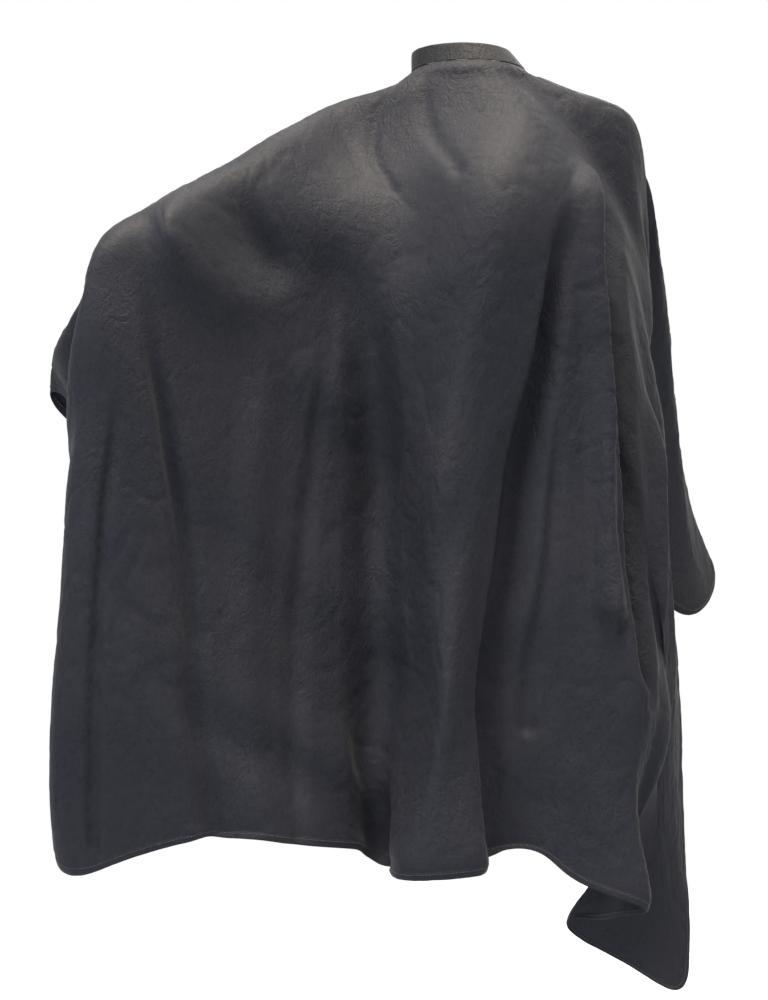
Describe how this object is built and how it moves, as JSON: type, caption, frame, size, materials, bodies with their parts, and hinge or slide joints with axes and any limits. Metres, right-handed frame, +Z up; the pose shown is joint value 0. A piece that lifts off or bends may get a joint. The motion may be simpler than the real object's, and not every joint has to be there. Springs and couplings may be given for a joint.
{
  "type": "barber cape",
  "caption": "Hairdressing cape of crinkled dark nylon, hanging from a stand-up neck band that fastens at the back with press studs.",
  "frame": {"origin": "centre of the neck opening, half way up the neck band", "axes": "+Z up along the neck, the wearer's front towards -Y, the raised arm on the -X side"},
  "size_m": [0.8011, 0.5984, 1.1031],
  "materials": {
    "cape_cloth": "crinkled nylon, soft sheen",
    "interlining": "matt non-woven",
    "thread": "polyester thread",
    "label_cloth": "woven satin",
    "snap_metal": "nickel plated",
    "snap_cap": "black enamel",
    "spring_wire": "bright wire"
  },
  "bodies": {
    "cape": {"cape_panel": "cape_cloth", "hem_thread": "thread", "neck_band": "cape_cloth", "neck_band_interlining": "interlining", "neck_seam_thread": "thread", "bartacks": "thread", "snap_eyelets": "snap_metal", "snap_studs": "snap_metal"},
    "closure_tab": {"closure_tab": "cape_cloth", "closure_tab_interlining": "interlining", "closure_tab_thread": "thread", "snap_sockets": "snap_metal", "snap_springs": "spring_wire", "snap_caps": "snap_cap"},
    "care_label": {"care_label": "label_cloth", "label_thread": "thread"}
  },
  "joints": [
    {"name": "tab_swing", "type": "hinge", "parent": "cape", "child": "closure_tab", "pos_m": [0.00239, 0.06841, 0], "axis": [0, 0, -1], "range_deg": [0, 110]},
    {"name": "label_swing", "type": "hinge", "parent": "cape", "child": "care_label", "pos_m": [0.03073, 0.05779, -0.0122], "axis": [-0.8829, 0.4695, 0], "range_deg": [-30, 85]}
  ]
}
